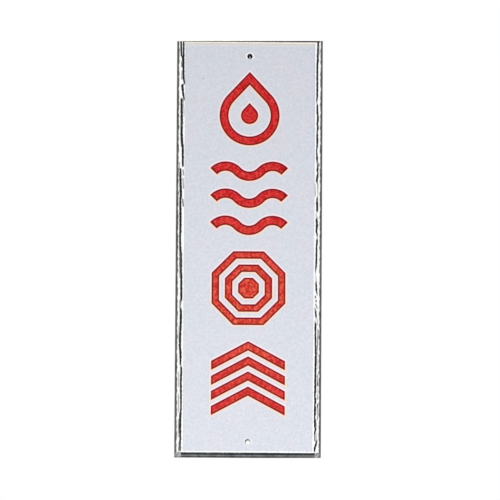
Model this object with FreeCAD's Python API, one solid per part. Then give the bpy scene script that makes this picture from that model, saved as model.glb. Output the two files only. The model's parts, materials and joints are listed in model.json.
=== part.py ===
import FreeCAD, Part
import math
import os

# A tall wall sign: a clear acrylic plate with a bevelled rim, a white face sheet bonded to its
# flat front, inside the bevel, and red shapes cut from film on the sheet.
# Sizes are in millimetres. X runs across the plate and Z up its length. The front faces -Y.
# The origin is the middle of the plate's flat back, which lies against the wall.

# Acrylic plate
plate_width = 105.0
plate_length = 300.0
plate_thickness = 3.0
edge_land = 1.0  # square edge left between the flat back and the bevel
side_bevel_width = 5.0  # width of the two long bevels seen from the front
end_bevel_width = 3.8  # width of the two end bevels seen from the front

# The two long bevels were buffed by hand in two passes, which meet in a ridge that wanders.
inner_facet_width = 1.08  # mean width of the facet between the ridge and the flat front
ridge_fullness = 0.35  # how far the ridge stands out, from a flat bevel (0) to the flat front (1)
ridge_waves = (  # swing, pitch and phase of each
    (0.4, 300.0, 0.75),
    (0.17, 93.0, -0.27),
    (0.21, 44.8, 0.82),
    (0.06, 17.0, 2.1),
)
ridge_side_phase = 2.75  # shifts the waves of the two sides against each other
ridge_step = 3.0  # distance between the points that the curve of a ridge passes through

# Two holes on the centre line, drilled through the sheet and the plate together
hole_radius = 2.0
hole_inset = 11.7  # from the nearer end of the plate to the middle of the hole

# Thin layers on the front
sheet_margin = 1.0  # clear strip of flat front left round the sheet
sheet_thickness = 0.25
film_thickness = 0.12

# Four red marks of equal height one above the other
mark_count = 4
mark_gap = 12.0  # clear height between one mark and the next
top_clearance = 23.25  # from the top of the plate to the first mark
bottom_clearance = 30.75  # from the last mark to the foot of the plate

# First mark: a drop in outline with a full drop inside it
drop_tip_angle = 86.5  # degrees between the two straight sides
drop_stroke = 6.0
drop_core_radius = 6.0

# Second mark: wavy bands
wave_count = 3
wave_stroke = 6.4
wave_half_length = 16.9
wave_halves = 3
wave_rise = 3.6

# Third mark: an octagon, in two rings round a core
octagon_stroke = 5.0
octagon_core_across = 14.5

# Fourth mark: chevrons
chevron_count = 4
chevron_width = 52.5
chevron_rise = 14.0
chevron_fill_ratio = 0.57  # height of a band as a share of the step from one band to the next

overcut = 1.0  # how far the drill reaches past what it cuts

sheet_front = plate_thickness + sheet_thickness
flat_width = plate_width - 2 * side_bevel_width
flat_length = plate_length - 2 * end_bevel_width
side_slope = (plate_thickness - edge_land) / side_bevel_width
end_slope = (plate_thickness - edge_land) / end_bevel_width
marks_length = plate_length - top_clearance - bottom_clearance
mark_height = (marks_length + mark_gap) / mark_count - mark_gap
tip_reach_ratio = 1 / math.sin(math.radians(drop_tip_angle / 2))


def point(x, depth, z):
    """A point at a depth in front of the wall."""
    return FreeCAD.Vector(x, -depth, z)


def extrude_forward(wire, thickness):
    return Part.Face(wire).extrude(point(0, thickness, 0))


def closed_wire(points):
    return Part.makePolygon(points + points[:1])


# Acrylic plate and face sheet


def slab(width, length, back, thickness):
    """A flat rectangular slab about the middle of the plate, whose back is at the given depth."""
    corner = point(-width / 2, back + thickness, -length / 2)
    return Part.makeBox(width, thickness, length, corner)


def hole_drill(side):
    start = point(0, -overcut, side * (plate_length / 2 - hole_inset))
    depth = sheet_front + 2 * overcut
    return Part.makeCylinder(hole_radius, depth, start, point(0, 1, 0))


def drill_holes(shape):
    return shape.cut([hole_drill(1), hole_drill(-1)])


def ridge_inset_at(z, side):
    """How far in from the side of the plate the ridge lies at one height."""
    wander = 0.0
    for swing, pitch, phase in ridge_waves:
        wander += swing * math.sin(2 * math.pi * z / pitch + phase + side * ridge_side_phase)
    return side_bevel_width - inner_facet_width + wander


def ridge_height(inset):
    """How far the ridge stands in front of the square edge at an inset from the side."""
    on_flat_bevel = side_slope * inset
    return on_flat_bevel + ridge_fullness * (plate_thickness - edge_land - on_flat_bevel)


def ridge_point(z, inset, side):
    return point(side * (plate_width / 2 - inset), edge_land + ridge_height(inset), z)


def mitre_point(side, end):
    """Where a ridge meets the flat bevel of an end."""
    inset = ridge_inset_at(end * flat_length / 2, side)
    return ridge_point(end * (plate_length / 2 - ridge_height(inset) / end_slope), inset, side)


def ridge_line(side):
    low = mitre_point(side, -1)
    high = mitre_point(side, 1)
    spans = math.ceil((high.z - low.z) / ridge_step)
    heights = [low.z + (high.z - low.z) * i / spans for i in range(1, spans)]
    between = [ridge_point(z, ridge_inset_at(z, side), side) for z in heights]
    curve = Part.BSplineCurve()
    curve.interpolate([low] + between + [high])
    return curve.toShape()


def back_corner(side, end):
    return point(side * plate_width / 2, 0, end * plate_length / 2)


def land_corner(side, end):
    return point(side * plate_width / 2, edge_land, end * plate_length / 2)


def crest_corner(side, end):
    return point(side * flat_width / 2, plate_thickness, end * flat_length / 2)


def rectangle(corner):
    """The flat face through the four corners that a corner function gives."""
    return Part.Face(closed_wire([corner(-1, -1), corner(1, -1), corner(1, 1), corner(-1, 1)]))


def side_faces(side):
    """The square edge and the two buffed facets along one long side."""
    edge = Part.Face(closed_wire([
        back_corner(side, -1), back_corner(side, 1), land_corner(side, 1), land_corner(side, -1),
    ]))
    ridge = ridge_line(side)
    land = Part.makeLine(land_corner(side, -1), land_corner(side, 1))
    crest = Part.makeLine(crest_corner(side, -1), crest_corner(side, 1))
    return [edge, Part.makeRuledSurface(land, ridge), Part.makeRuledSurface(ridge, crest)]


def end_faces(end):
    """The square edge and the straight bevel across one end, mitred to the ridges."""
    edge = Part.Face(closed_wire([
        back_corner(-1, end), back_corner(1, end), land_corner(1, end), land_corner(-1, end),
    ]))
    bevel = Part.Face(closed_wire([
        land_corner(-1, end), land_corner(1, end), mitre_point(1, end),
        crest_corner(1, end), crest_corner(-1, end), mitre_point(-1, end),
    ]))
    return [edge, bevel]


def acrylic_plate():
    faces = [rectangle(back_corner), rectangle(crest_corner)]
    for way in (1, -1):
        faces += side_faces(way) + end_faces(way)
    shell = Part.makeShell(faces)
    shell.sewShape()
    plate = Part.makeSolid(shell)
    if plate.Volume < 0:
        plate.reverse()
    return drill_holes(plate)


def face_sheet():
    width = flat_width - 2 * sheet_margin
    length = flat_length - 2 * sheet_margin
    return drill_holes(slab(width, length, plate_thickness, sheet_thickness))


# Red film


def mark_middle(row):
    """Height of the middle of a mark, with the rows counted from the top."""
    return plate_length / 2 - top_clearance - mark_height / 2 - row * (mark_height + mark_gap)


def film(wire):
    return extrude_forward(wire, film_thickness)


def drop_wire(radius, centre):
    """A drop standing on its round end, whose straight sides run on from the arc."""
    spread = math.acos(1 / tip_reach_ratio)
    tip = point(0, sheet_front, centre + tip_reach_ratio * radius)
    right = point(radius * math.sin(spread), sheet_front, centre + radius * math.cos(spread))
    left = point(-right.x, sheet_front, right.z)
    foot = point(0, sheet_front, centre - radius)
    return Part.Wire([
        Part.makeLine(tip, right),
        Part.Arc(right, foot, left).toShape(),
        Part.makeLine(left, tip),
    ])


def drop_mark(middle):
    radius = mark_height / (1 + tip_reach_ratio)
    centre = middle - mark_height / 2 + radius
    opening = film(drop_wire(radius - drop_stroke, centre))
    return {
        "drop_outline": film(drop_wire(radius, centre)).cut(opening),
        "drop_core": film(drop_wire(drop_core_radius, centre)),
    }


def wave_edge(middle, offset):
    """One edge of a wavy band: arcs that bulge up and down in turn, offset from its middle line."""
    half = wave_half_length / 2
    radius = (half ** 2 + wave_rise ** 2) / (2 * wave_rise)
    spread = math.asin(half / radius)
    arcs = []
    for i in range(wave_halves):
        way = 1 if i % 2 == 0 else -1
        x = (i - (wave_halves - 1) / 2) * wave_half_length
        z = middle - way * (radius - wave_rise)
        reach = radius + way * offset
        arcs.append([
            point(x + reach * math.sin(turn), sheet_front, z + way * reach * math.cos(turn))
            for turn in (-spread, 0, spread)
        ])
    return arcs


def wave_band(middle):
    upper = wave_edge(middle, wave_stroke / 2)
    lower = wave_edge(middle, -wave_stroke / 2)
    edges = [Part.Arc(*arc).toShape() for arc in upper + lower]
    edges.append(Part.makeLine(upper[0][0], lower[0][0]))
    edges.append(Part.makeLine(upper[-1][2], lower[-1][2]))
    return film(Part.Wire(Part.__sortEdges__(edges)))


def wave_mark(middle):
    travel = mark_height - wave_stroke - 2 * wave_rise
    step = travel / (wave_count - 1)
    top = middle + travel / 2
    return {f"wave_band_{i + 1}": wave_band(top - i * step) for i in range(wave_count)}


def octagon_wire(across, middle):
    corner_radius = across / 2 / math.cos(math.pi / 8)
    turns = [math.pi * (2 * i + 1) / 8 for i in range(8)]
    return closed_wire([
        point(corner_radius * math.cos(turn), sheet_front, middle + corner_radius * math.sin(turn))
        for turn in turns
    ])


def octagon_ring(across, middle):
    opening = octagon_wire(across - 2 * octagon_stroke, middle)
    return film(octagon_wire(across, middle)).cut(film(opening))


def octagon_mark(middle):
    step = (mark_height - octagon_core_across) / 2
    return {
        "octagon_outer_ring": octagon_ring(mark_height, middle),
        "octagon_inner_ring": octagon_ring(mark_height - step, middle),
        "octagon_core": film(octagon_wire(octagon_core_across, middle)),
    }


def chevron(foot, stroke):
    """A band that rises to a point at its middle, with its two ends standing at the foot height."""
    side = chevron_width / 2
    return film(closed_wire([
        point(-side, sheet_front, foot),
        point(-side, sheet_front, foot + stroke),
        point(0, sheet_front, foot + stroke + chevron_rise),
        point(side, sheet_front, foot + stroke),
        point(side, sheet_front, foot),
        point(0, sheet_front, foot + chevron_rise),
    ]))


def chevron_mark(middle):
    step = (mark_height - chevron_rise) / (chevron_count - 1 + chevron_fill_ratio)
    stroke = chevron_fill_ratio * step
    top_foot = middle + mark_height / 2 - chevron_rise - stroke
    return {f"chevron_{i + 1}": chevron(top_foot - i * step, stroke) for i in range(chevron_count)}


# The whole sign

sign = {"acrylic_plate": acrylic_plate(), "face_sheet": face_sheet()}
for row, mark in enumerate((drop_mark, wave_mark, octagon_mark, chevron_mark)):
    sign.update(mark(mark_middle(row)))

os.makedirs("parts", exist_ok=True)
for name, shape in sign.items():
    solid = shape.Solids[0]
    solid.exportStep(f"parts/{name}.step")
    print(name, "solids", len(shape.Solids), "valid", solid.isValid(), "volume", round(solid.Volume, 2))
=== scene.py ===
import json
import math

import bpy
import numpy as np
from mathutils import Matrix, Vector
from mathutils.geometry import tessellate_polygon


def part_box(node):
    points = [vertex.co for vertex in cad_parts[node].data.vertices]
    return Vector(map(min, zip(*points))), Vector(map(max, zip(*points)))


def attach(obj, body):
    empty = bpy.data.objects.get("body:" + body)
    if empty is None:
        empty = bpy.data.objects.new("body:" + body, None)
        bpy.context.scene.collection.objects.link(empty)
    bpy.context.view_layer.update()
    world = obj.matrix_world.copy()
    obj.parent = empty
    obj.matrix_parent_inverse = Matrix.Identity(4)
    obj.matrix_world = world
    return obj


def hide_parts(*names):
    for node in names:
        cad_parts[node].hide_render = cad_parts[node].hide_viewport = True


# The looks of a tall acrylic wall sign: a clear plate whose long bevels were buffed by hand, a
# white face sheet with a screw hole near each end, and four marks of red film on a pale undercoat.
# Lengths are in metres. X runs across the sign, Z up it, and the front faces -Y.
# A depth is the distance in front of the wall, so a point at depth d has y = -d.

MM = 0.001

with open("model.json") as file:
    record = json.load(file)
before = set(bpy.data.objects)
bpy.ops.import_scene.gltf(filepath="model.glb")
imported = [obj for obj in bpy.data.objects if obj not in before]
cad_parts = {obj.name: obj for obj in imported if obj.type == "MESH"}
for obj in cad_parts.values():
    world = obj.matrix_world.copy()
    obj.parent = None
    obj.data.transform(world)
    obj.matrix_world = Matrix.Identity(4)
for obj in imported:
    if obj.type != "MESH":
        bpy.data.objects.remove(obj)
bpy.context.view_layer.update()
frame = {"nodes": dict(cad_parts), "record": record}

# Sizes from the frame
plate_low, plate_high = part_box("acrylic_plate")
sheet_low, sheet_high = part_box("face_sheet")
half_width = plate_high.x
half_length = plate_high.z
plate_front = -plate_low.y
sheet_front = -sheet_low.y
half_sheet_width = sheet_high.x
half_sheet_length = sheet_high.z
hole_pattern = next(m for m in frame["record"]["mounts"] if m["name"] == "screw_holes")
hole_radius = hole_pattern["dims"]["hole_r_mm"] * MM
hole_height = hole_pattern["dims"]["spacing_y_mm"] / 2 * MM  # above and below the middle

# Bevels
edge_land = 1.0 * MM  # square edge between the flat back and the bevel
side_bevel_width = 5.0 * MM
end_bevel_width = 3.8 * MM
ridge_fullness = 0.35  # how far the ridge stands out, from a flat bevel (0) to the flat front (1)
least_facet = 0.3 * MM  # the facet inside the ridge is never narrower than this
ripple_height = 0.03 * MM  # small waves that buffing left along the long bevels

# Grid of the plate's front
rim_width = 6.4 * MM  # fine columns reach this far in from each side
rim_step = 0.16 * MM
middle_columns = 16
end_zone = 6.0 * MM  # fine rows reach this far in from each end
end_step = 0.13 * MM
row_step = 0.75 * MM
bond_depth = 0.02 * MM  # how far the plate's front bites into the bonded sheet, inside its borders

# A dark reflection is painted along the ridge of each long bevel. Each knot gives its distance
# from the top of the plate, its inset from the side and the width of the reflection, all in
# millimetres, and how dark it is. A knot with no darkness breaks the reflection.
left_ridge = (
    (0, 4.8, 0.8, 1.0), (11, 4.75, 0.9, 1.0), (14, 4.65, 1.15, 0.97), (20, 4.7, 1.15, 0.95),
    (28, 4.85, 1.1, 0.95), (30.6, 5.4, 0.8, 0.75), (31.2, 5.4, 0.3, 0.0), (31.5, 4.1, 0.3, 0.0),
    (32.3, 4.05, 1.4, 1.0), (34.2, 4.1, 1.3, 1.0), (39, 4.65, 1.1, 0.9), (40.8, 4.9, 1.0, 0.85),
    (41.3, 5.0, 0.3, 0.0), (41.7, 3.6, 0.3, 0.0), (42.4, 3.55, 1.2, 1.0), (57, 3.75, 1.4, 1.0),
    (59.5, 3.8, 1.6, 0.75), (62, 3.75, 1.5, 0.75), (64.5, 3.7, 1.3, 0.95), (69, 3.75, 1.4, 1.0),
    (73, 4.0, 1.4, 0.9), (78, 4.65, 1.2, 1.0), (90.5, 4.8, 1.0, 1.0), (91.4, 4.8, 0.8, 0.8),
    (91.9, 4.8, 0.3, 0.0), (92.3, 3.1, 0.3, 0.0), (93, 3.1, 1.0, 0.95), (99, 3.1, 1.3, 1.0),
    (112, 3.55, 1.4, 1.0), (116, 3.15, 1.1, 1.0), (126, 3.35, 1.3, 1.0), (138, 3.4, 1.2, 0.9),
    (142, 3.15, 1.1, 0.8), (150, 3.4, 1.2, 0.9), (155, 3.8, 1.7, 0.75), (162, 3.9, 1.7, 0.75),
    (166, 3.9, 1.2, 0.8), (169, 4.25, 1.2, 0.9), (186, 4.4, 1.2, 1.0), (189, 4.1, 0.6, 0.5),
    (192, 3.5, 0.5, 0.5), (194, 4.1, 1.2, 0.8), (199, 4.2, 1.3, 1.0), (206, 4.05, 1.2, 0.85),
    (212, 3.75, 1.2, 0.9), (220, 3.6, 1.2, 0.9), (226, 4.15, 1.3, 1.0), (231, 4.15, 1.0, 0.95),
    (233.4, 4.15, 0.9, 0.7), (234.4, 4.4, 0.6, 0.4), (235.4, 4.75, 1.0, 0.85),
    (239, 4.75, 1.1, 0.95), (246, 4.5, 1.2, 0.8), (254, 4.7, 1.1, 0.9), (265, 4.8, 0.9, 0.8),
    (270, 4.3, 1.4, 0.82), (278, 4.2, 1.5, 0.84), (283, 4.3, 1.3, 0.84), (286, 4.5, 1.1, 0.8),
    (289, 4.2, 1.2, 0.75), (292, 4.1, 1.7, 0.6), (297, 4.1, 1.7, 0.6),
)
right_ridge = (
    (0, 3.35, 1.2, 0.9), (5, 3.6, 0.8, 0.85), (11, 3.75, 1.0, 0.9), (14, 3.65, 1.2, 1.0),
    (18, 4.0, 0.95, 0.95), (40, 3.95, 0.95, 0.95), (43, 4.2, 0.7, 0.75), (45, 4.3, 0.4, 0.45),
    (46.5, 3.8, 0.8, 0.8), (52, 3.85, 1.0, 1.0), (54, 3.45, 0.9, 1.0), (58, 3.4, 1.1, 0.95),
    (60, 3.85, 0.9, 0.85), (63, 3.35, 1.0, 0.95), (66, 3.85, 0.8, 0.65), (71, 3.75, 1.1, 1.0),
    (75, 3.75, 0.9, 0.9), (80, 4.2, 0.6, 0.7), (85.5, 3.8, 1.1, 0.95), (88, 3.9, 0.5, 0.4),
    (90, 3.2, 0.8, 0.85), (94, 3.65, 1.0, 0.9), (95.5, 3.15, 0.7, 0.7), (99, 3.75, 1.2, 1.0),
    (102, 3.9, 0.8, 0.75), (104, 3.2, 0.5, 0.45), (112, 3.3, 0.4, 0.3), (114, 3.7, 0.8, 0.75),
    (118, 3.65, 1.15, 1.0), (122, 3.55, 1.0, 0.95), (125, 3.9, 0.3, 0.1), (127, 4.0, 0.3, 0.0),
    (129, 4.0, 1.0, 0.95), (133, 3.6, 1.25, 1.0), (137, 4.1, 0.9, 0.95), (140, 3.5, 0.8, 0.8),
    (142, 3.5, 0.3, 0.2), (144, 3.55, 1.0, 0.95), (149, 3.9, 0.8, 0.9), (160, 4.0, 0.95, 0.95),
    (164, 4.3, 0.7, 0.75), (168, 4.6, 0.3, 0.25), (172, 4.1, 0.4, 0.3), (176, 4.05, 0.9, 0.9),
    (180, 3.9, 0.8, 0.9), (182, 3.3, 0.6, 0.7), (184, 3.5, 0.3, 0.0), (192.5, 4.6, 0.3, 0.1),
    (194.5, 4.4, 0.8, 0.75), (198, 4.05, 0.95, 0.9), (200.5, 4.2, 0.3, 0.1), (202.5, 4.3, 0.4, 0.3),
    (204, 4.35, 1.0, 1.0), (207, 4.4, 1.0, 1.0), (209, 4.4, 0.8, 0.85), (212, 4.4, 0.8, 0.85),
    (213.7, 4.35, 1.0, 1.0), (216, 4.3, 0.8, 0.85), (220, 4.3, 0.8, 0.85), (225, 4.0, 1.05, 1.0),
    (231, 4.15, 1.15, 1.0), (240, 4.3, 1.0, 1.0), (252, 4.35, 1.15, 1.0), (254, 4.55, 0.9, 0.9),
    (256, 4.55, 0.8, 0.9), (257.5, 4.3, 1.1, 1.0), (260, 4.2, 1.1, 1.0), (261.7, 4.6, 0.7, 0.85),
    (263.5, 4.4, 1.2, 1.0), (268.5, 4.5, 1.1, 1.0), (270.3, 4.7, 0.6, 0.8), (272, 4.5, 1.1, 0.95),
    (275, 4.4, 1.2, 0.95), (277.5, 4.4, 0.9, 0.85), (279.3, 3.9, 1.1, 0.95),
    (281.3, 4.5, 0.8, 0.95), (283, 4.7, 0.6, 0.6), (287, 4.7, 0.5, 0.5), (288.5, 3.3, 0.8, 0.7),
    (290.5, 3.8, 1.1, 1.0), (292.4, 4.4, 1.1, 1.0), (294, 4.65, 0.8, 0.95), (297, 4.7, 0.7, 0.85),
)

# Finer painted reflections beside the ridges. Each gives its two ends as distances from the top
# of the plate, the inset at each end and the width, all in millimetres, and how dark it is.
left_strands = (
    (0, 12, 2.85, 3.2, 0.85, 1.0), (11, 14, 3.2, 4.4, 0.8, 0.85), (13.5, 16.5, 4.1, 3.4, 0.5, 0.5),
    (16, 20, 3.4, 3.6, 0.6, 0.6), (22, 29, 3.6, 3.5, 0.4, 0.4), (27, 32.4, 4.9, 5.7, 0.8, 0.85),
    (38, 43.7, 4.7, 5.4, 0.8, 0.85), (42, 56, 4.9, 5.5, 0.25, 0.35), (72, 77, 3.3, 3.7, 0.5, 0.45),
    (88, 92.5, 2.3, 2.4, 0.5, 0.4), (93, 98, 4.9, 5.3, 0.5, 0.5), (99, 108, 4.9, 5.5, 0.5, 0.45),
    (114.3, 120.7, 4.8, 5.4, 0.5, 0.7), (156, 172, 2.9, 3.1, 0.5, 0.3),
    (187, 194, 3.4, 3.5, 0.4, 0.6), (205, 216, 2.8, 2.6, 0.3, 0.25),
    (238, 250, 2.7, 2.9, 0.4, 0.35), (254, 268, 2.8, 2.9, 0.4, 0.4), (272, 286, 3.0, 2.9, 0.3, 0.4),
)
right_strands = (
    (3, 11, 2.9, 2.8, 0.5, 0.35), (86, 91, 3.9, 1.6, 0.4, 0.45), (103, 113, 5.2, 5.0, 0.35, 0.4),
    (125, 129, 4.8, 2.8, 0.4, 0.5), (183.6, 186, 4.5, 4.45, 0.55, 0.65),
    (186, 188.4, 4.1, 4.0, 0.55, 0.65), (189, 193, 4.6, 3.0, 0.5, 0.65),
    (192, 195, 5.2, 4.3, 0.5, 0.6), (198, 202, 3.9, 2.8, 0.4, 0.3), (201, 204, 5.0, 5.1, 0.3, 0.3),
    (201, 205, 3.1, 2.8, 0.3, 0.35), (207.6, 211.2, 2.55, 2.5, 0.45, 0.6),
    (211.3, 214.2, 2.6, 2.6, 0.45, 0.6), (213.5, 223, 2.6, 3.1, 0.4, 0.55),
    (221, 228, 3.2, 2.2, 0.3, 0.3), (228, 237, 2.8, 2.6, 0.3, 0.25), (237, 241, 1.4, 2.8, 0.4, 0.5),
    (240, 246, 2.8, 2.7, 0.35, 0.5), (245, 248.5, 2.6, 2.6, 0.6, 0.7),
    (249, 254, 2.6, 2.6, 0.3, 0.25), (254, 258.3, 2.6, 2.5, 0.4, 0.5),
    (260.8, 263.7, 2.6, 2.6, 0.5, 0.75), (263, 269.5, 2.6, 2.6, 0.35, 0.5),
    (269.8, 272.7, 2.6, 2.6, 0.4, 0.55), (274, 278, 3.7, 3.6, 1.2, 0.3),
    (281.5, 288.5, 3.7, 3.6, 1.3, 0.3), (286.5, 289.3, 3.1, 3.1, 0.6, 0.6),
)

strand_spread = 0.43 * MM  # a reflection is painted this much wider than its dark core
strand_softness = 0.18 * MM
knot_wander = 0.1 * MM  # how far a ridge wanders about the line through its knots
width_wander = 0.18  # how far the width of its reflection does, as a share
picture_gamma = 2.2  # darkness is given as the eye judges it, and this turns it into covered light

# The sign leans in the picture, and what is painted along its head and foot starts level there.
end_slant = 0.0072  # how far the level line runs out of line with the ends
head_level = 0.42 * MM  # in from the end, at the middle of the head
foot_level = 0.0216 * MM  # the same at the foot
level_softness = 0.16 * MM

# Lines of painted shade along the long edges
left_line_width = 1.78 * MM
right_line_width = 1.72 * MM
line_softness = 0.35 * MM
green_length = 14 * MM  # the left reflections are green over this length from the top
foot_fade = 1.5 * MM  # the reflections fade out over this length above the foot's corners
veil_foot = -40 * MM  # height at which the veil along the sheet's right border begins
veil_head = 50 * MM  # height from which it is full

# Painted bands: the inset of each of the two borders and how soft the borders are. Where a part
# of a band depends on the place, its values stand by themselves.
sheet_veil_band = (5.45 * MM, 6.3 * MM, 0.25 * MM)
head_grey_softness = 0.2 * MM
# bands of painted highlight on the head's bevel, which faces up, and of painted shade at its edge
head_beige_band = (0, 3.2 * MM, 1.6 * MM)
head_cream_width = 2.1 * MM
head_cream_widening = 0.004  # how much it widens towards the right
head_cream_softness = 0.3 * MM
head_edge_band = (0, 1.26 * MM, 0.16 * MM)
# bands of painted shade on the foot's bevel and at its corners
foot_bevel_band = (0, 3.2 * MM, 0.3 * MM)
foot_edge_band = (0, 1.35 * MM, 0.25 * MM)
foot_line_band = (2.15 * MM, 4.02 * MM, 0.3 * MM)
corner_edge_band = (0, 0.8 * MM, 0.25 * MM)
corner_height = end_bevel_width + 0.3 * MM
corner_softness = 0.8 * MM

# How far the bands along the head and foot reach: the inset from the left side, the inset from the
# right side, and how soft the ends are
past_bevel = side_bevel_width + 0.4 * MM
head_span = (past_bevel, past_bevel, 0.8 * MM)
head_edge_span = (past_bevel, 1.8 * MM, 0.6 * MM)
foot_span = (4.7 * MM, 4.1 * MM, 0.8 * MM)

# Colours, as red, green and blue in linear light
clear_tint = (0.99, 1.0, 0.995)
# painted dark reflections on the long bevels, green near the top of the left one
painted_reflection_colour = (0.003, 0.004, 0.004)
green_painted_reflection_colour = (0.006, 0.014, 0.008)
# painted shade along each long edge
edge_line_shade = (0.07, 0.07, 0.064)
# painted shade on the foot's bevel, which faces down
foot_line_shade = (0.010, 0.015, 0.023)
foot_bevel_shade = (0.18, 0.195, 0.19)
foot_edge_shade = (0.06, 0.063, 0.06)
# painted shade along the head's edge, and painted highlight on the head's bevel
head_edge_shade = (0.018, 0.013, 0.006)
head_cream_highlight = (0.84, 0.74, 0.60)
head_beige_light = (0.84, 0.79, 0.71)
head_grey = (0.69, 0.70, 0.74)
# painted speckled reflections at the foot's corners
corner_pale_reflection = (0.36, 0.36, 0.37)
corner_dark_reflection = (0.05, 0.052, 0.058)
sheet_colour = (0.665, 0.688, 0.755)
sheet_pink = (0.685, 0.68, 0.75)
sheet_blue = (0.65, 0.688, 0.755)
# painted shade along the sheet's long borders
sheet_edge_shade = (0.50, 0.51, 0.53)
# painted highlight round the holes
highlight_white = (0.96, 0.96, 0.98)
speck_colour = (0.25, 0.25, 0.27)
red_colour = (0.56, 0.004, 0.010)
red_light = (0.66, 0.040, 0.030)
red_orange = (0.67, 0.078, 0.035)
red_grain_low = (0.76, 0.22, 0.20)
red_grain_high = (1.25, 1.95, 2.15)
red_edge_above = (0.095, 0.001, 0.015)
red_edge_below = (0.10, 0.002, 0.0)
undercoat_above = (0.97, 0.80, 0.83)
undercoat_below = (0.97, 0.70, 0.57)
undercoat_by_film_above = (0.80, 0.13, 0.18)
undercoat_by_film_below = (0.84, 0.15, 0.05)
# painted shade in the holes, black in the top one and grey in the bottom one
hole_shade_black = (0.004, 0.004, 0.006)
hole_shade_grey = (0.26, 0.26, 0.28)
floor_colour = (0.82, 0.82, 0.82)

# Red film and its undercoat
undercoat_thickness = 0.03 * MM
undercoat_margin = 1.45 * MM  # how far the undercoat reaches past the film
undercoat_overlap = 0.2 * MM  # how far it reaches in under the film
film_round = 0.02 * MM  # rounding of the film's front edges
edge_band = 1.15 * MM  # how far the darker edge reaches into the film
mark_nodes = {
    "drop": ("drop_outline", "drop_core"),
    "wave": ("wave_band_1", "wave_band_2", "wave_band_3"),
    "octagon": ("octagon_outer_ring", "octagon_inner_ring", "octagon_core"),
    "chevron": ("chevron_1", "chevron_2", "chevron_3", "chevron_4"),
}

# Painted white highlight round each hole
halo_full = hole_radius + 0.65 * MM  # full up to this distance from the middle of the hole
halo_end = hole_radius + 1.3 * MM
top_halo = 1.0  # how strong it is
bottom_halo = 0.35

# Speck on the sheet, the warm part of the red, and the painted shade in the holes
speck_place = (-33.3 * MM, -sheet_front, 122.1 * MM)
speck_radius = 0.6 * MM
warm_place = (0, -sheet_front, -45 * MM)  # the red turns to orange round this point
hole_shade_back = 0.7 * MM
hole_shade_front = 1.1 * MM
hole_shade_bite = 0.02 * MM  # how far the painted shade runs into the wall of its hole
hole_shade_turns = 40

# Openings in the painted shade: the middle, across and up from the middle of the hole, then half
# the width and half the height
top_opening = (0.02 * MM, -0.9 * MM, 0.19 * MM, 1.14 * MM)
bottom_opening = (0.25 * MM, -0.9 * MM, 1.6 * MM, 1.6 * MM)

# Stage
floor_radius = 2.4
floor_below = 0.9  # from the foot of the sign down to the floor


def link_object(name, data):
    made = bpy.data.objects.new(name, data)
    bpy.context.scene.collection.objects.link(made)
    return made


def add_piece(name, mesh, material, slot, *nodes):
    """A piece of the sign that rides on its one body and stands for the named nodes."""
    piece = link_object(name, mesh)
    mesh.materials.append(material)
    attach(piece, "root")
    if nodes:
        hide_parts(*nodes)
    return piece


def mesh_of(name, points, faces):
    mesh = bpy.data.meshes.new(name)
    mesh.from_pydata(points, [], faces)
    return mesh


def circle(radius, turns):
    angles = [2 * math.pi * i / turns for i in range(turns)]
    return [(radius * math.cos(angle), radius * math.sin(angle)) for angle in angles]


def wall(ring, other):
    """The faces between two closed rings, each given by the numbers of its points."""
    return [(ring[i - 1], ring[i], other[i], other[i - 1]) for i in range(len(ring))]


# Clear plate


def waver(along, *waves):
    """A smooth uneven line: the sum of waves, each given by its pitch in mm and its phase."""
    return sum(np.sin(2 * math.pi * along / (pitch * MM) + phase) for pitch, phase in waves) / len(waves)


def ridge_at(height, knots):
    """Inset, width and darkness of a ridge's reflection at each height."""
    from_top = (half_length - height) / MM
    at, insets, widths, darkness = zip(*knots)
    inset = np.interp(from_top, at, insets) * MM
    inset = inset + knot_wander * waver(height, (5.3, 0.4), (3.1, 1.7), (2.3, 0.9))
    width = np.interp(from_top, at, widths) * MM
    width = width * (1 + width_wander * waver(height, (4.1, 2.0), (2.7, 0.3)))
    return inset, width, np.interp(from_top, at, darkness)


def front_depth(x, z):
    """Depth of the plate's front: two facets along each side, a straight bevel across each end."""
    inset = half_width - abs(x)
    end_inset = half_length - abs(z)
    left, right = ridge_at(z, left_ridge)[0], ridge_at(z, right_ridge)[0]
    ridge = np.clip(np.where(x < 0, left, right), 0, side_bevel_width - least_facet)
    on_flat_bevel = edge_land + (plate_front - edge_land) * ridge / side_bevel_width
    ridge_depth = on_flat_bevel + ridge_fullness * (plate_front - on_flat_bevel)
    outer = edge_land + (ridge_depth - edge_land) * inset / ridge
    inner_share = np.clip((inset - ridge) / (side_bevel_width - ridge), 0, 1)
    inner = ridge_depth + (plate_front - ridge_depth) * inner_share
    swell = np.sin(math.pi * np.clip(inset / side_bevel_width, 0, 1))
    ripple = ripple_height * swell * waver(z + 0.7 * x, (6.1, 0.2), (3.7, 1.1), (9.3, 2.5))
    side = np.where(inset < ridge, outer, inner) + ripple
    end = edge_land + (plate_front - edge_land) / end_bevel_width * end_inset
    depth = np.minimum(np.minimum(side, end), plate_front)
    bonded = (abs(x) < half_sheet_width - bond_depth) & (abs(z) < half_sheet_length - bond_depth)
    return np.where(bonded, plate_front + bond_depth, depth)


def steps_between(low, high, step):
    return np.linspace(low, high, max(1, round((high - low) / step)) + 1)


def plate_columns():
    rim = steps_between(half_width - rim_width, half_width, rim_step)
    middle = np.linspace(rim_width - half_width, half_width - rim_width, middle_columns + 1)
    return np.concatenate([-rim[::-1], middle[1:-1], rim])


def plate_rows():
    end = steps_between(half_length - end_zone, half_length, end_step)
    middle = steps_between(end_zone - half_length, half_length - end_zone, row_step)
    return np.concatenate([-end[::-1], middle[1:-1], end])


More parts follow.
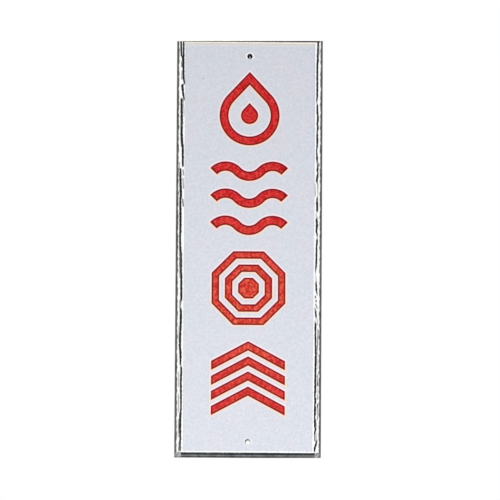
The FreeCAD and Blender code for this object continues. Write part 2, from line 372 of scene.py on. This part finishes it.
def plate_blank():
    """The plate before drilling: a fine front, square edges and a flat back, closed all round."""
    x, z = np.meshgrid(plate_columns(), plate_rows())
    front = np.stack([x, -front_depth(x, z), z], axis=-1).reshape(-1, 3)
    numbers = np.arange(x.size).reshape(x.shape)
    corners = (numbers[:-1, :-1], numbers[:-1, 1:], numbers[1:, 1:], numbers[1:, :-1])
    faces = np.stack(corners, axis=-1).reshape(-1, 4).tolist()
    rim = np.concatenate([numbers[0], numbers[1:, -1], numbers[-1, -2::-1], numbers[-2:0:-1, 0]])
    rim = rim.tolist()
    back = front[rim] * (1, 0, 1)
    back_rim = list(range(len(front), len(front) + len(rim)))
    faces += wall(back_rim, rim)
    faces.append(tuple(back_rim[::-1]))
    return mesh_of("plate_blank", np.concatenate([front, back]).tolist(), faces)


def drill_mesh(height):
    """A cylinder through the whole sign at one hole."""
    turns = 48
    reach = 2 * plate_front
    points = [(x, y, height + z) for y in (-reach, reach) for x, z in circle(hole_radius, turns)]
    front, back = list(range(turns)), list(range(turns, 2 * turns))
    return mesh_of("drill", points, [tuple(front), tuple(back[::-1])] + wall(back, front))


def drilled(mesh):
    """The same mesh with both screw holes cut through it."""
    blank = link_object("blank", mesh)
    drills = []
    for height in (hole_height, -hole_height):
        drill = link_object("drill", drill_mesh(height))
        cut = blank.modifiers.new("hole", "BOOLEAN")
        cut.object = drill
        cut.solver = "EXACT"
        drills.append(drill)
    depsgraph = bpy.context.evaluated_depsgraph_get()
    result = bpy.data.meshes.new_from_object(blank.evaluated_get(depsgraph))
    for used in [blank] + drills:
        bpy.data.objects.remove(used)
    return result


def band(distance, half, soft):
    """One inside a band about zero, falling to nought over its soft edges."""
    return np.clip((half - abs(distance)) / soft + 0.5, 0, 1)


def between(value, low, high, soft):
    return band(value - (low + high) / 2, (high - low) / 2, soft)


def strand_paint(inset, height, knots, strands):
    """How dark the reflections of one long bevel are at each point."""

    def painted(middle, width, darkness):
        return band(inset - middle, (width + strand_spread) / 2, strand_softness) * darkness

    paint = painted(*ridge_at(height, knots))
    from_top = (half_length - height) / MM
    for top, foot, top_inset, foot_inset, width, darkness in strands:
        share = (from_top - top) / (foot - top)
        middle = top_inset + (foot_inset - top_inset) * share
        taper = np.clip(3 * np.sqrt(np.clip(share * (1 - share), 0, 1)), 0, 1)
        paint = np.maximum(paint, painted(middle * MM, width * MM, darkness * taper))
    return 1 - (1 - paint) ** picture_gamma


def mixed(colour, other, share):
    """Each point's colour moved towards another by its own share."""
    share = np.clip(share, 0, 1)[:, None]
    return colour * (1 - share) + np.asarray(other) * share


def across(x, left_inset, right_inset, soft):
    """One between an inset from the left side and another from the right side."""
    return between(x, left_inset - half_width, half_width - right_inset, soft)


class PlatePaint:
    """The tint of painted reflections, highlights and shade laid over the points of the plate, and how
    far it veils them.
    """

    def __init__(self, mesh):
        points = np.zeros(len(mesh.vertices) * 3)
        mesh.vertices.foreach_get("co", points)
        self.x, y, self.z = points.reshape(-1, 3).T
        self.inset = half_width - abs(self.x)
        self.end_inset = half_length - abs(self.z)
        self.colour = np.tile(np.asarray(clear_tint), (len(self.x), 1))
        self.veil = np.zeros(len(self.x))
        slant = end_slant * self.x
        level = np.maximum(np.where(self.z > 0, head_level - slant, foot_level + slant), 0)
        on_front = y < -0.9 * edge_land
        self.reflecting = on_front * between(self.end_inset, level, 2 * half_length, level_softness)

    def lay(self, colour, share, strength=1.0):
        """Lays a colour over each point by its own share, on the part that carries the painted light and
        shade.
        """
        share = share * strength * self.reflecting
        self.colour = mixed(self.colour, colour, share)
        self.veil = np.maximum(self.veil, share)

    def foot(self):
        """One along the foot, up to its two corners."""
        return np.where(self.z < 0, across(self.x, *foot_span), 0)


def paint_edge_lines(paint):
    """A dark line of painted shade along each long edge."""
    width = np.where(paint.x < 0, left_line_width, right_line_width)
    width = width * (1 + 0.2 * waver(paint.z, (17, 0.3), (7.9, 1.4), (4.3, 0.2)))
    line = band(paint.inset - width / 2, width / 2, line_softness)
    paint.lay(edge_line_shade, line, strength=0.97)


def paint_ridges(paint):
    """The painted dark reflections on the long bevels, which fade out above the foot's corners."""
    left = strand_paint(paint.inset, paint.z, left_ridge, left_strands)
    right = strand_paint(paint.inset, paint.z, right_ridge, right_strands)
    past_corner = np.clip((paint.end_inset - end_bevel_width) / foot_fade, 0, 1)
    fading = np.where(paint.z > 0, 1, past_corner)
    paint.lay(painted_reflection_colour, np.where(paint.x < 0, left, right) * fading)
    green = (paint.x < 0) & (paint.z > half_length - green_length)
    paint.lay(green_painted_reflection_colour, np.where(green, left, 0))


def paint_sheet_veil(paint):
    """The sheet's colour a little past its right border, fading out downwards."""
    fading = np.clip((paint.z - veil_foot) / (veil_head - veil_foot), 0, 1)
    veil = between(paint.inset, *sheet_veil_band) * fading
    paint.lay(sheet_colour, np.where(paint.x > 0, veil, 0))


def paint_head(paint):
    """Grey along the head's bevel with painted highlight over it, beige and then a clear cream line, and
    a dark line of painted shade at the edge.
    """
    head = np.where(paint.z > 0, across(paint.x, *head_span), 0)
    sheet_inset = half_length - half_sheet_length
    grey = head * between(paint.end_inset, 0, sheet_inset, head_grey_softness)
    paint.lay(head_grey, grey, strength=0.85)
    paint.lay(head_beige_light, head * between(paint.end_inset, *head_beige_band), strength=0.8)
    cream_width = head_cream_width + head_cream_widening * paint.x
    cream = head * between(paint.end_inset, 0, cream_width, head_cream_softness)
    paint.lay(head_cream_highlight, cream)
    paint.veil = paint.veil * (1 - cream)
    edge = np.where(paint.z > 0, across(paint.x, *head_edge_span), 0)
    paint.lay(head_edge_shade, edge * between(paint.end_inset, *head_edge_band))


def paint_foot(paint):
    """Painted shade on the foot's bevel, which faces down: grey along it, a darker edge, and a dark
    uneven line below the sheet.
    """
    foot = paint.foot()
    paint.lay(foot_bevel_shade, foot * between(paint.end_inset, *foot_bevel_band))
    paint.lay(foot_edge_shade, foot * between(paint.end_inset, *foot_edge_band))
    unevenness = 0.94 + 0.06 * waver(paint.x, (5.3, 0.4), (2.9, 1.1), (11.7, 2.0))
    paint.lay(foot_line_shade, foot * between(paint.end_inset, *foot_line_band) * unevenness)


def paint_foot_corners(paint):
    """Painted speckled reflections where the foot's bevel meets the long ones, with painted shade along
    the edge.
    """
    x, z = paint.x, paint.z
    corner = np.where(z < 0, 1 - paint.foot(), 0)
    corner = corner * band(paint.end_inset, corner_height, corner_softness)
    speckle = waver(x + 1.4 * z, (2.3, 0.5), (1.4, 1.3)) + waver(x - 0.8 * z, (1.7, 0.1), (3.1, 2.2))
    paint.lay(corner_pale_reflection, corner, strength=0.85)
    paint.lay(corner_dark_reflection, corner * np.clip(1.6 * speckle, 0, 0.95))
    edge = corner * between(paint.end_inset, *corner_edge_band)
    paint.lay(foot_edge_shade, edge, strength=0.6)


def paint_plate(mesh):
    """Writes the tint of every point of the plate, and in the fourth channel how clear it is."""
    paint = PlatePaint(mesh)
    paint_edge_lines(paint)
    paint_ridges(paint)
    paint_sheet_veil(paint)
    paint_head(paint)
    paint_foot(paint)
    paint_foot_corners(paint)
    values = np.concatenate([paint.colour, 1 - paint.veil[:, None]], axis=1)
    tint = mesh.attributes.new("tint", "FLOAT_COLOR", "POINT")
    tint.data.foreach_set("color", values.ravel())


def plate_mesh():
    mesh = drilled(plate_blank())
    mesh.name = "acrylic_plate_clear"
    paint_plate(mesh)
    mesh.shade_smooth()
    mesh.set_sharp_from_angle(angle=math.radians(25))
    return mesh


# Red film and its undercoat


def front_edges(node):
    """The borders of a node's front faces: the corners that follow each corner, as (x, z) points."""
    mesh = frame["nodes"][node].data
    edges = {}
    for polygon in mesh.polygons:
        if polygon.normal.y > -0.9:
            continue
        corners = [mesh.vertices[v].co for v in polygon.vertices]
        corners = [(round(c.x, 6), round(c.z, 6)) for c in corners]
        for i, corner in enumerate(corners):
            edges.setdefault(corners[i - 1], set()).add(corner)
    return edges


def front_outlines(node):
    """The closed outlines of a node's front, as (x, z) points with the inside on their left."""
    edges = front_edges(node)
    for start, ends in edges.items():
        for end in set(ends):
            if start in edges.get(end, ()):
                ends.discard(end)
                edges[end].discard(start)
    following = {start: ends.pop() for start, ends in edges.items() if ends}
    outlines = []
    while following:
        start, point = following.popitem()
        outline = [start]
        while point != start:
            outline.append(point)
            point = following.pop(point)
        outlines.append(np.array(outline))
    return outlines


def inward_steps(outline):
    """For each point of an outline, the step that moves its two lines in by one unit. At sharp
    points the step is held back."""
    before = outline - np.roll(outline, 1, axis=0)
    after = np.roll(outline, -1, axis=0) - outline
    before /= np.linalg.norm(before, axis=1)[:, None]
    after /= np.linalg.norm(after, axis=1)[:, None]
    left_of = np.array(((0, 1), (-1, 0)))
    first, second = before @ left_of, after @ left_of
    spread = 1 + (first * second).sum(axis=1)[:, None]
    return (first + second) / np.maximum(spread, 0.35)


def cap(points, ring, facing_front):
    """Flat triangles that fill the loops of one ring, where a loop inside another is an opening."""
    numbers = [i for loop in ring for i in loop]
    flat = [[Vector((points[i][0], points[i][2], 0)) for i in loop] for loop in ring]
    faces = []
    for triangle in tessellate_polygon(flat):
        corners = [numbers[t] for t in triangle]
        a, b, c = (Vector((points[i][0], points[i][2])) for i in corners)
        clockwise = (b - a).cross(c - a) < 0
        faces.append(tuple(corners[::-1] if clockwise == facing_front else corners))
    return faces


def layered_mesh(name, outline_sets, layers):
    """A thin flat part built up from its outlines. Each layer gives how far it is moved in, its
    depth, and the value that its points keep in the mesh's edge attribute. The faces_up attribute
    is the upward share of the way out of the shape."""
    points, edge_values, up_values, faces = [], [], [], []
    for outlines in outline_sets:
        inward = [inward_steps(outline) for outline in outlines]
        rings = []
        for moved, depth, value in layers:
            ring = []
            for outline, steps in zip(outlines, inward):
                ring.append(list(range(len(points), len(points) + len(outline))))
                points += [(x, -depth, z) for x, z in outline + moved * steps]
                edge_values += [value] * len(outline)
                up_values += list(-steps[:, 1])
            rings.append(ring)
        for lower, upper in zip(rings, rings[1:]):
            for low, high in zip(lower, upper):
                faces += wall(low, high)
        faces += cap(points, rings[0], facing_front=False)
        faces += cap(points, rings[-1], facing_front=True)
    mesh = mesh_of(name, points, faces)
    for attribute, values in (("edge", edge_values), ("faces_up", up_values)):
        mesh.attributes.new(attribute, "FLOAT", "POINT").data.foreach_set("value", values)
    return mesh


def film_mesh(node, name):
    back = sheet_front + undercoat_thickness
    front = -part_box(node)[0].y
    layers = (
        (0, back, 1),
        (0, front - film_round, 1),
        (film_round, front, 1),
        (edge_band * 0.55, front, 1),
        (edge_band * 0.8, front, 0.4),
        (edge_band, front, 0),
    )
    return layered_mesh(name, [front_outlines(node)], layers)


def undercoat_mesh(nodes, name):
    front = sheet_front + undercoat_thickness
    layers = (
        (-undercoat_margin, sheet_front, 0),
        (-undercoat_margin, sheet_front + undercoat_thickness / 2, 0),
        (-undercoat_margin * 0.82, front, 0.5),
        (-undercoat_margin * 0.33, front, 0.6),
        (0, front, 1),
        (undercoat_overlap, front, 1),
    )
    return layered_mesh(name, [front_outlines(node) for node in nodes], layers)


# Painted shade in the screw holes


def ragged_opening(middle_x, middle_z, half_wide, half_high):
    """Points round an uneven oval in a hole, none of them outside the hole."""
    points = []
    for i in range(hole_shade_turns):
        turn = 2 * math.pi * i / hole_shade_turns
        ragged = 1 + 0.12 * math.sin(5 * turn + 0.6) + 0.07 * math.sin(9 * turn)
        x = middle_x + half_wide * ragged * math.cos(turn)
        z = middle_z + half_high * ragged * math.sin(turn)
        point = Vector((x, z))
        if point.length > hole_radius:
            point *= hole_radius / point.length
        points.append(tuple(point))
    return points


def hole_shade_mesh(name, height, opening):
    """A thin crescent of painted shade between the wall of a hole and a ragged opening."""
    outer = circle(hole_radius + hole_shade_bite, hole_shade_turns)
    inner = ragged_opening(*opening)
    around = ((outer, hole_shade_front), (inner, hole_shade_front), (inner, hole_shade_back), (outer, hole_shade_back))
    points, rings = [], []
    for outline, depth in around:
        rings.append(list(range(len(points), len(points) + hole_shade_turns)))
        points += [(x, -depth, height + z) for x, z in outline]
    faces = []
    for i, ring in enumerate(rings):
        faces += wall(rings[i - 1], ring)
    return mesh_of(name, points, faces)


# Materials


class Look:
    """A node material under construction, with short calls for the nodes used here."""

    def __init__(self, name):
        self.material = bpy.data.materials.new(name)
        self.material.use_nodes = True
        self.tree = self.material.node_tree
        self.shader = self.tree.nodes["Principled BSDF"]
        self.place = self.node("ShaderNodeTexCoord").outputs["Object"]

    def node(self, kind, **values):
        made = self.tree.nodes.new(kind)
        for key, value in values.items():
            setattr(made, key, value)
        return made

    def set(self, socket, value):
        """Links a value into a socket, or writes it there if it is the same everywhere."""
        if isinstance(value, bpy.types.NodeSocket):
            self.tree.links.new(value, socket)
        elif isinstance(value, tuple):
            socket.default_value = (*value, 1)
        else:
            socket.default_value = value

    def noise(self, size, detail=2.0, stretch=(1, 1, 1), shift=0.0):
        """Soft noise whose patches are about the given size."""
        mapping = self.node("ShaderNodeMapping")
        self.set(mapping.inputs["Vector"], self.place)
        mapping.inputs["Scale"].default_value = [s / size for s in stretch]
        mapping.inputs["Location"].default_value = (shift, shift, shift)
        noise = self.node("ShaderNodeTexNoise")
        self.set(noise.inputs["Vector"], mapping.outputs[0])
        noise.inputs["Scale"].default_value = 1
        noise.inputs["Detail"].default_value = detail
        return noise.outputs[0]

    def spread(self, value, low, high, out_low=0.0, out_high=1.0):
        """A value from low to high spread over another range, and held at its ends."""
        made = self.node("ShaderNodeMapRange")
        for name, given in (("Value", value), ("From Min", low), ("From Max", high),
                            ("To Min", out_low), ("To Max", out_high)):
            self.set(made.inputs[name], given)
        return made.outputs[0]

    def maths(self, operation, first, second=0.0):
        made = self.node("ShaderNodeMath", operation=operation)
        self.set(made.inputs[0], first)
        self.set(made.inputs[1], second)
        return made.outputs[0]

    def mix(self, share, first, second, blend="MIX"):
        made = self.node("ShaderNodeMix", data_type="RGBA", blend_type=blend)
        self.set(made.inputs[0], share)
        self.set(made.inputs[6], first)  # sockets 6 and 7 take colours, and 2 gives one
        self.set(made.inputs[7], second)
        return made.outputs[2]

    def times(self, colour, factor):
        return self.mix(1.0, colour, factor, "MULTIPLY")

    def attribute(self, name):
        return self.node("ShaderNodeAttribute", attribute_name=name).outputs["Fac"]

    def by_facing(self, above, below):
        """One colour along edges that face up, and another along those that face down."""
        return self.mix(self.spread(self.attribute("faces_up"), -0.5, 0.6), below, above)

    def square_edge(self):
        """One on edges square to the front, and nought where the surface faces front or back."""
        parts = self.node("ShaderNodeSeparateXYZ")
        self.set(parts.inputs[0], self.node("ShaderNodeNewGeometry").outputs["Normal"])
        return self.spread(self.maths("ABSOLUTE", parts.outputs[1]), 0.1, 0.3, 1.0, 0.0)

    def axes(self):
        made = self.node("ShaderNodeSeparateXYZ")
        self.set(made.inputs[0], self.place)
        return made.outputs

    def near(self, centre, inner, outer):
        """One close to a point, nought further than the outer distance from it."""
        made = self.node("ShaderNodeVectorMath", operation="DISTANCE")
        self.set(made.inputs[0], self.place)
        made.inputs[1].default_value = centre
        return self.spread(made.outputs["Value"], inner, outer, 1.0, 0.0)

    def surface(self, colour, roughness, specular):
        """Sets the colour, the roughness and how strong the highlights are."""
        self.set(self.shader.inputs["Base Color"], colour)
        self.set(self.shader.inputs["Roughness"], roughness)
        self.set(self.shader.inputs["Specular IOR Level"], specular)

    def bump(self, height, distance, strength=1.0):
        made = self.node("ShaderNodeBump")
        made.inputs["Distance"].default_value = distance
        made.inputs["Strength"].default_value = strength
        self.set(made.inputs["Height"], height)
        self.set(self.shader.inputs["Normal"], made.outputs[0])


def clear_acrylic():
    """Clear cast acrylic with a faint cool tint. Its painted reflections are less clear."""
    look = Look("clear_acrylic")
    tint = look.node("ShaderNodeAttribute", attribute_name="tint")
    frost = look.square_edge()
    patches = look.noise(2.6 * MM, 4, stretch=(1, 1, 0.5))
    tone = look.spread(patches, 0.3, 0.7, 0.55, 1.45)
    shaded = look.times(tint.outputs["Color"], tone)
    lightness = look.node("ShaderNodeRGBToBW")
    look.set(lightness.inputs[0], tint.outputs["Color"])
    unevenness = look.spread(lightness.outputs[0], 0.1, 0.6, 1.0, 0.12)
    colour = look.mix(unevenness, tint.outputs["Color"], shaded)
    clearness = look.maths("SUBTRACT", tint.outputs["Alpha"], look.maths("MULTIPLY", frost, 0.25))
    look.set(look.shader.inputs["Transmission Weight"], clearness)
    scuffs = look.spread(look.noise(1.8 * MM, 5, stretch=(1, 1, 0.25)), 0.35, 0.75, 0.02, 0.12)
    roughness = look.maths("MAXIMUM", scuffs, look.maths("MULTIPLY", frost, 0.5))
    look.surface(colour, roughness, specular=0.25)
    look.set(look.shader.inputs["IOR"], 1.49)
    look.bump(look.noise(1.4 * MM, 3, stretch=(1, 1, 0.3)), 0.02 * MM, 0.5)
    return look.material


def sheet_border_shade(look, x):
    """How far a broken grey line of painted shade covers the sheet near its long borders."""
    off_side = look.maths("SUBTRACT", half_sheet_width, look.maths("ABSOLUTE", x))
    broken = look.spread(look.noise(3 * MM, 2, stretch=(0.2, 1, 1), shift=2.0), 0.42, 0.6)
    return look.maths("MULTIPLY", look.spread(off_side, 0.15 * MM, 0.6 * MM, 0.7, 0.0), broken)


def hole_highlight(look, x, z, height, strength):
    """Share of painted white highlight round a hole: less straight above it, and hardly below it."""
    halo = look.near((0, -sheet_front, height), halo_full, halo_end)
    beside = look.spread(look.maths("ABSOLUTE", x), 0.4 * MM, 2.2 * MM, 0.45, 1.0)
    above = look.spread(look.maths("SUBTRACT", z, height), -2.4 * MM, -1.0 * MM, 0.1, 1.0)
    halo = look.maths("MULTIPLY", halo, look.maths("MULTIPLY", beside, above))
    return look.maths("MULTIPLY", halo, strength)


def white_sheet():
    """Satin white sheet with faint pink and blue clouding and a fine grain."""
    look = Look("white_sheet")
    clouds = look.spread(look.noise(13 * MM, 3), 0.35, 0.65)
    cool = look.spread(look.noise(9 * MM, 3, shift=4.0), 0.45, 0.7)
    colour = look.mix(clouds, sheet_colour, sheet_pink)
    colour = look.mix(cool, colour, sheet_blue)
    grain = look.spread(look.noise(1.8 * MM, 4, shift=9.0), 0.3, 0.7, 0.93, 1.07)
    colour = look.times(colour, grain)
    x, _, z = look.axes()
    # painted shade along the sheet's long borders
    colour = look.mix(sheet_border_shade(look, x), colour, sheet_edge_shade)
    # painted white highlight round each hole
    for height, strength in ((hole_height, top_halo), (-hole_height, bottom_halo)):
        colour = look.mix(hole_highlight(look, x, z, height, strength), colour, highlight_white)
    speck = look.maths("MULTIPLY", look.near(speck_place, speck_radius / 2, speck_radius), 0.6)
    colour = look.mix(speck, colour, speck_colour)
    roughness = look.spread(look.noise(5 * MM, 4, shift=6.0), 0.3, 0.7, 0.42, 0.56)
    look.surface(colour, roughness, specular=0.3)
    look.bump(look.noise(0.9 * MM, 3), 0.01 * MM, 0.3)
    return look.material


def red_film():
    """Satin red film, a little uneven, with a darker band along its edges."""
    look = Look("red_film")
    patches = look.spread(look.noise(3.2 * MM, 5, stretch=(1.3, 1, 0.8)), 0.28, 0.72)
    colour = look.mix(patches, red_colour, red_light)
    warm = look.near(warm_place, 15 * MM, 75 * MM)
    speckle = look.spread(look.noise(3.0 * MM, 4, stretch=(1.4, 1, 0.7), shift=5.0), 0.42, 0.58, 0.1, 1.0)
    colour = look.mix(look.maths("MULTIPLY", warm, speckle), colour, red_orange)
    grain = look.spread(look.noise(1.35 * MM, 3, shift=3.0), 0.36, 0.64)
    colour = look.times(colour, look.mix(grain, red_grain_low, red_grain_high))
    colour = look.mix(look.attribute("edge"), colour, look.by_facing(red_edge_above, red_edge_below))
    look.surface(colour, look.spread(patches, 0.0, 1.0, 0.38, 0.5), specular=0.1)
    look.bump(look.noise(1.1 * MM, 3, shift=1.0), 0.01 * MM, 0.3)
    return look.material


def pale_undercoat():
    """Warm pale undercoat that shows round the film and thins out towards its own edge."""
    look = Look("pale_undercoat")
    edge = look.attribute("edge")
    uneven = look.spread(look.noise(2.4 * MM, 3), 0.3, 0.7, 0.8, 1.0)
    pale = look.by_facing(undercoat_above, undercoat_below)
    colour = look.mix(look.maths("MULTIPLY", look.spread(edge, 0, 0.5), uneven), sheet_colour, pale)
    by_film = look.by_facing(undercoat_by_film_above, undercoat_by_film_below)
    colour = look.mix(look.spread(edge, 0.62, 0.88), colour, by_film)
    roughness = look.spread(look.noise(3 * MM, 2), 0.3, 0.7, 0.45, 0.6)
    look.surface(colour, roughness, specular=0.3)
    return look.material


def painted_hole_shade(name, colour):
    """Rough, uneven painted shade for a hole."""
    look = Look(name)
    uneven = look.spread(look.noise(0.8 * MM, 3), 0.3, 0.7, 0.7, 1.3)
    roughness = look.spread(uneven, 0.7, 1.3, 0.6, 0.8)
    look.surface(look.times(colour, uneven), roughness, specular=0.15)
    return look.material


def pale_floor(radius):
    """Pale grey that takes shadows and fades to plain white at the rim."""
    look = Look("pale_floor")
    look.surface(floor_colour, roughness=0.9, specular=0.0)
    white = look.node("ShaderNodeEmission")
    length = look.node("ShaderNodeVectorMath", operation="LENGTH")
    look.set(length.inputs[0], look.place)
    fade = look.spread(length.outputs["Value"], radius * 0.3, radius * 0.95)
    both = look.node("ShaderNodeMixShader")
    look.set(both.inputs[0], fade)
    look.set(both.inputs[1], look.shader.outputs[0])
    look.set(both.inputs[2], white.outputs[0])
    look.set(look.tree.nodes["Material Output"].inputs["Surface"], both.outputs[0])
    return look.material


# Stage, light and camera


def add_floor():
    rim = [(x, y, 0) for x, y in circle(floor_radius, 96)]
    mesh = mesh_of("floor", rim, [tuple(range(len(rim)))])
    floor = link_object("floor", mesh)
    floor.location.z = -half_length - floor_below
    mesh.materials.append(pale_floor(floor_radius))


def light_world():
    """White to the camera and to what reflects or refracts, and softer as a light."""
    ambient = 0.6
    world = bpy.data.worlds.new("studio")
    bpy.context.scene.world = world
    world.use_nodes = True
    tree = world.node_tree
    background = tree.nodes["Background"]
    path = tree.nodes.new("ShaderNodeLightPath")
    seen = path.outputs["Is Camera Ray"]
    for name in ("Is Glossy Ray", "Is Transmission Ray"):
        either = tree.nodes.new("ShaderNodeMath")
        either.operation = "MAXIMUM"
        tree.links.new(seen, either.inputs[0])
        tree.links.new(path.outputs[name], either.inputs[1])
        seen = either.outputs[0]
    level = tree.nodes.new("ShaderNodeMapRange")
    level.inputs["To Min"].default_value = ambient
    level.inputs["To Max"].default_value = 1.0
    tree.links.new(seen, level.inputs["Value"])
    tree.links.new(level.outputs[0], background.inputs["Strength"])
    background.inputs["Color"].default_value = (1, 1, 1, 1)


def add_soft_lamp(name, place, size, power):
    """A square lamp that faces the middle of the sign."""
    lamp = bpy.data.lights.new(name, "AREA")
    lamp.size = size
    lamp.energy = power
    made = link_object(name, lamp)
    made.location = place
    made.rotation_euler = (-Vector(place)).to_track_quat("-Z", "Y").to_euler()


def add_camera():
    """A camera that sees the sign from a little below, as large and as far over as in the photo."""
    picture_size = 500
    sign_height = 418.4  # pixels
    sign_middle = (248.75, 248.42)  # pixels from the left and from the top
    lean = math.radians(0.36)  # the sign leans to the right
    looks_up = math.radians(2.6)
    metres_per_pixel = 2 * half_length / sign_height
    data = bpy.data.cameras.new("camera")
    data.lens = 200
    data.sensor_width = 36
    camera = link_object("camera", data)
    distance = data.lens / data.sensor_width * picture_size * metres_per_pixel
    sideways = (picture_size / 2 - sign_middle[0]) * metres_per_pixel
    up = (sign_middle[1] - picture_size / 2) * metres_per_pixel
    tilt = Matrix.Rotation(looks_up, 3, "X")
    level_view = Matrix.Rotation(-lean, 3, "Y") @ Matrix.Rotation(math.pi / 2, 3, "X")
    camera.location = tilt @ Vector((sideways, -distance, up)) - Vector((0, plate_front, 0))
    camera.rotation_euler = (tilt @ level_view).to_euler()
    bpy.context.scene.camera = camera


def build_sign():
    add_piece("acrylic_plate_clear", plate_mesh(), clear_acrylic(), "clear_acrylic", "acrylic_plate")
    sheet = frame["nodes"]["face_sheet"]
    sheet.data.materials.clear()
    sheet.data.materials.append(white_sheet())
    red, pale = red_film(), pale_undercoat()
    for mark, nodes in mark_nodes.items():
        name = f"{mark}_undercoat"
        add_piece(name, undercoat_mesh(nodes, name), pale, "white_sheet")
        for node in nodes:
            name = f"{node}_film"
            add_piece(name, film_mesh(node, name), red, "red_film", node)
    # painted shade in the holes, as thin dark and grey crescents
    top_shade_mesh = hole_shade_mesh("top_hole_shade", hole_height, top_opening)
    add_piece("top_hole_shade", top_shade_mesh, painted_hole_shade("dark_hole_shade", hole_shade_black), "clear_acrylic")
    bottom_shade_mesh = hole_shade_mesh("bottom_hole_shade", -hole_height, bottom_opening)
    add_piece("bottom_hole_shade", bottom_shade_mesh, painted_hole_shade("grey_hole_shade", hole_shade_grey), "clear_acrylic")


build_sign()
add_floor()
light_world()
add_soft_lamp("key", place=(-0.04, -0.7, -0.3), size=0.5, power=2.75)
add_soft_lamp("fill", place=(0.8, 0.65, 0.5), size=0.5, power=9.0)
add_camera()
bpy.context.scene.view_settings.view_transform = "Standard"
